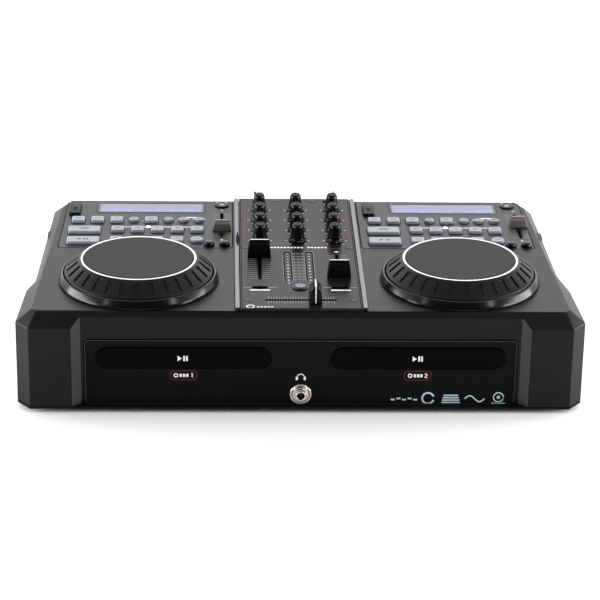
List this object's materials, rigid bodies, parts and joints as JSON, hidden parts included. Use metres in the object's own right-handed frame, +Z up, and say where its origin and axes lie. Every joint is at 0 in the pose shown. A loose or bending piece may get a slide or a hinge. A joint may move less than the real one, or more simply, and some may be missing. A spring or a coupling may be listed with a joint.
{
  "type": "dj controller",
  "caption": "Tabletop two-deck disc workstation with a jog wheel, keypad, display and front-loading disc tray on each side of a central mixer.",
  "frame": {"origin": "middle of the footprint, on the surface that the feet stand on", "axes": "+X to the user's right, -Y towards the user, +Z up"},
  "size_m": [0.52, 0.302, 0.1191],
  "materials": {
    "case_shell": "fine grained satin",
    "base_paint": "satin black paint",
    "fascia_plastic": "satin black",
    "panel_metal": "satin grey paint",
    "circuit_board": "solder mask",
    "display": "clear window over a lit display",
    "drive_steel": "zinc plated",
    "bright_metal": "polished nickel",
    "foot_rubber": "matte",
    "jog_grip": "fine grained",
    "silver_key": "satin silver",
    "gloss_black": "glossy black"
  },
  "bodies": {
    "case": {"base_chassis": "base_paint", "top_shell": "case_shell", "front_fascia": "fascia_plastic", "mixer_plate": "panel_metal", "main_board": "circuit_board", "power_supply": "circuit_board", "power_inlet": "gloss_black", "rca_jack_block": "gloss_black", "headphone_jack": "bright_metal", "left_front_foot": "foot_rubber", "left_rear_foot": "foot_rubber", "left_jog_collar": "gloss_black", "left_disc_drive": "drive_steel", "left_control_panel": "panel_metal", "left_display_window": "display", "right_front_foot": "foot_rubber", "right_rear_foot": "foot_rubber", "right_jog_collar": "gloss_black", "right_disc_drive": "drive_steel", "right_control_panel": "panel_metal", "right_display_window": "display"},
    "left_jog_wheel": {"left_jog_wheel": "jog_grip"},
    "left_disc_tray": {"left_disc_tray": "fascia_plastic"},
    "right_jog_wheel": {"right_jog_wheel": "jog_grip"},
    "right_disc_tray": {"right_disc_tray": "fascia_plastic"},
    "left_channel_fader": {"left_channel_fader": "gloss_black"},
    "right_channel_fader": {"right_channel_fader": "gloss_black"},
    "crossfader": {"crossfader": "gloss_black"},
    "left_pitch_fader": {"left_pitch_fader": "gloss_black"},
    "right_pitch_fader": {"right_pitch_fader": "gloss_black"},
    "left_input_toggle": {"left_input_toggle": "bright_metal"},
    "left_start_switch": {"left_start_switch": "gloss_black"},
    "right_input_toggle": {"right_input_toggle": "bright_metal"},
    "right_start_switch": {"right_start_switch": "gloss_black"},
    "power_rocker": {"power_rocker": "gloss_black"},
    "left_knob_1": {"left_knob_1": "gloss_black"},
    "middle_knob_1": {"middle_knob_1": "gloss_black"},
    "right_knob_1": {"right_knob_1": "gloss_black"},
    "left_knob_2": {"left_knob_2": "gloss_black"},
    "middle_knob_2": {"middle_knob_2": "gloss_black"},
    "right_knob_2": {"right_knob_2": "gloss_black"},
    "left_knob_3": {"left_knob_3": "gloss_black"},
    "middle_knob_3": {"middle_knob_3": "gloss_black"},
    "right_knob_3": {"right_knob_3": "gloss_black"},
    "left_knob_4": {"left_knob_4": "gloss_black"},
    "middle_knob_4": {"middle_knob_4": "gloss_black"},
    "right_knob_4": {"right_knob_4": "gloss_black"},
    "cue_mix_button": {"cue_mix_button": "silver_key"},
    "left_cue_button": {"left_cue_button": "silver_key"},
    "left_play_button": {"left_play_button": "silver_key"},
    "left_eject_button": {"left_eject_button": "gloss_black"},
    "left_bend_minus_button": {"left_bend_minus_button": "gloss_black"},
    "left_bend_plus_button": {"left_bend_plus_button": "gloss_black"},
    "left_keypad": {"left_keypad": "silver_key"},
    "right_cue_button": {"right_cue_button": "silver_key"},
    "right_play_button": {"right_play_button": "silver_key"},
    "right_eject_button": {"right_eject_button": "gloss_black"},
    "right_bend_minus_button": {"right_bend_minus_button": "gloss_black"},
    "right_bend_plus_button": {"right_bend_plus_button": "gloss_black"},
    "right_keypad": {"right_keypad": "silver_key"}
  },
  "joints": [
    {"name": "left_jog_spin", "type": "hinge", "parent": "case", "child": "left_jog_wheel", "pos_m": [-0.15, -0.0651, 0.0974], "axis": [0, 0, 1], "continuous": true},
    {"name": "left_tray_slide", "type": "slide", "parent": "case", "child": "left_disc_tray", "axis": [0, -1, 0], "range_m": [0, 0.132]},
    {"name": "right_jog_spin", "type": "hinge", "parent": "case", "child": "right_jog_wheel", "pos_m": [0.15, -0.0651, 0.0974], "axis": [0, 0, 1], "continuous": true},
    {"name": "right_tray_slide", "type": "slide", "parent": "case", "child": "right_disc_tray", "axis": [0, -1, 0], "range_m": [0, 0.132]},
    {"name": "left_fader_slide", "type": "slide", "parent": "case", "child": "left_channel_fader", "axis": [0, 1, 0], "range_m": [-0.0555, 0.0015]},
    {"name": "right_fader_slide", "type": "slide", "parent": "case", "child": "right_channel_fader", "axis": [0, 1, 0], "range_m": [-0.0045, 0.0525]},
    {"name": "crossfader_slide", "type": "slide", "parent": "case", "child": "crossfader", "axis": [1, 0, 0], "range_m": [-0.043, 0.017]},
    {"name": "left_pitch_slide", "type": "slide", "parent": "case", "child": "left_pitch_fader", "axis": [0, 1, 0], "range_m": [-0.0175, 0.0425]},
    {"name": "right_pitch_slide", "type": "slide", "parent": "case", "child": "right_pitch_fader", "axis": [0, 1, 0], "range_m": [-0.03, 0.03]},
    {"name": "left_toggle_flip", "type": "hinge", "parent": "case", "child": "left_input_toggle", "pos_m": [-0.0355, 0.132, 0.0954], "axis": [0, 1, 0], "range_deg": [0, 28]},
    {"name": "left_start_slide", "type": "slide", "parent": "case", "child": "left_start_switch", "axis": [1, 0, 0], "range_m": [-0.0035, 0.0035]},
    {"name": "right_toggle_flip", "type": "hinge", "parent": "case", "child": "right_input_toggle", "pos_m": [0.0355, 0.132, 0.0954], "axis": [0, 1, 0], "range_deg": [-28, 0]},
    {"name": "right_start_slide", "type": "slide", "parent": "case", "child": "right_start_switch", "axis": [1, 0, 0], "range_m": [-0.0035, 0.0035]},
    {"name": "power_rocker_tilt", "type": "hinge", "parent": "case", "child": "power_rocker", "pos_m": [0.182, 0.1415, 0.036], "axis": [1, 0, 0], "range_deg": [-16, 0]},
    {"name": "left_knob_1_turn", "type": "hinge", "parent": "case", "child": "left_knob_1", "pos_m": [-0.0356, 0.0258, 0.1004], "axis": [0, 0, 1], "range_deg": [-140, 140]},
    {"name": "middle_knob_1_turn", "type": "hinge", "parent": "case", "child": "middle_knob_1", "pos_m": [0.0006, 0.0258, 0.1004], "axis": [0, 0, 1], "range_deg": [-140, 140]},
    {"name": "right_knob_1_turn", "type": "hinge", "parent": "case", "child": "right_knob_1", "pos_m": [0.0368, 0.0258, 0.1004], "axis": [0, 0, 1], "range_deg": [-140, 140]},
    {"name": "left_knob_2_turn", "type": "hinge", "parent": "case", "child": "left_knob_2", "pos_m": [-0.0356, 0.0531, 0.1004], "axis": [0, 0, 1], "range_deg": [-140, 140]},
    {"name": "middle_knob_2_turn", "type": "hinge", "parent": "case", "child": "middle_knob_2", "pos_m": [0.0006, 0.0531, 0.1004], "axis": [0, 0, 1], "range_deg": [-140, 140]},
    {"name": "right_knob_2_turn", "type": "hinge", "parent": "case", "child": "right_knob_2", "pos_m": [0.0368, 0.0531, 0.1004], "axis": [0, 0, 1], "range_deg": [-140, 140]},
    {"name": "left_knob_3_turn", "type": "hinge", "parent": "case", "child": "left_knob_3", "pos_m": [-0.0356, 0.0804, 0.1004], "axis": [0, 0, 1], "range_deg": [-140, 140]},
    {"name": "middle_knob_3_turn", "type": "hinge", "parent": "case", "child": "middle_knob_3", "pos_m": [0.0006, 0.0804, 0.1004], "axis": [0, 0, 1], "range_deg": [-140, 140]},
    {"name": "right_knob_3_turn", "type": "hinge", "parent": "case", "child": "right_knob_3", "pos_m": [0.0368, 0.0804, 0.1004], "axis": [0, 0, 1], "range_deg": [-140, 140]},
    {"name": "left_knob_4_turn", "type": "hinge", "parent": "case", "child": "left_knob_4", "pos_m": [-0.0356, 0.1077, 0.1004], "axis": [0, 0, 1], "range_deg": [-140, 140]},
    {"name": "middle_knob_4_turn", "type": "hinge", "parent": "case", "child": "middle_knob_4", "pos_m": [0.0006, 0.1077, 0.1004], "axis": [0, 0, 1], "range_deg": [-140, 140]},
    {"name": "right_knob_4_turn", "type": "hinge", "parent": "case", "child": "right_knob_4", "pos_m": [0.0368, 0.1077, 0.1004], "axis": [0, 0, 1], "range_deg": [-140, 140]},
    {"name": "cue_mix_button_press", "type": "slide", "parent": "case", "child": "cue_mix_button", "axis": [0, 0, -1], "range_m": [0, 0.0008], "stiffness_N_per_m": 300, "springref_m": -0.0006},
    {"name": "left_cue_button_press", "type": "slide", "parent": "case", "child": "left_cue_button", "axis": [0, 0, -1], "range_m": [0, 0.0008], "stiffness_N_per_m": 300, "springref_m": -0.0006},
    {"name": "left_play_button_press", "type": "slide", "parent": "case", "child": "left_play_button", "axis": [0, 0, -1], "range_m": [0, 0.0008], "stiffness_N_per_m": 300, "springref_m": -0.0006},
    {"name": "left_eject_button_press", "type": "slide", "parent": "case", "child": "left_eject_button", "axis": [0, 0, -1], "range_m": [0, 0.0008], "stiffness_N_per_m": 300, "springref_m": -0.0006},
    {"name": "left_bend_minus_button_press", "type": "slide", "parent": "case", "child": "left_bend_minus_button", "axis": [0, 0, -1], "range_m": [0, 0.0008], "stiffness_N_per_m": 300, "springref_m": -0.0006},
    {"name": "left_bend_plus_button_press", "type": "slide", "parent": "case", "child": "left_bend_plus_button", "axis": [0, 0, -1], "range_m": [0, 0.0008], "stiffness_N_per_m": 300, "springref_m": -0.0006},
    {"name": "left_keypad_press", "type": "slide", "parent": "case", "child": "left_keypad", "axis": [0, 0, -1], "range_m": [0, 0.0008], "stiffness_N_per_m": 500, "springref_m": -0.001},
    {"name": "right_cue_button_press", "type": "slide", "parent": "case", "child": "right_cue_button", "axis": [0, 0, -1], "range_m": [0, 0.0008], "stiffness_N_per_m": 300, "springref_m": -0.0006},
    {"name": "right_play_button_press", "type": "slide", "parent": "case", "child": "right_play_button", "axis": [0, 0, -1], "range_m": [0, 0.0008], "stiffness_N_per_m": 300, "springref_m": -0.0006},
    {"name": "right_eject_button_press", "type": "slide", "parent": "case", "child": "right_eject_button", "axis": [0, 0, -1], "range_m": [0, 0.0008], "stiffness_N_per_m": 300, "springref_m": -0.0006},
    {"name": "right_bend_minus_button_press", "type": "slide", "parent": "case", "child": "right_bend_minus_button", "axis": [0, 0, -1], "range_m": [0, 0.0008], "stiffness_N_per_m": 300, "springref_m": -0.0006},
    {"name": "right_bend_plus_button_press", "type": "slide", "parent": "case", "child": "right_bend_plus_button", "axis": [0, 0, -1], "range_m": [0, 0.0008], "stiffness_N_per_m": 300, "springref_m": -0.0006},
    {"name": "right_keypad_press", "type": "slide", "parent": "case", "child": "right_keypad", "axis": [0, 0, -1], "range_m": [0, 0.0008], "stiffness_N_per_m": 500, "springref_m": -0.001}
  ]
}
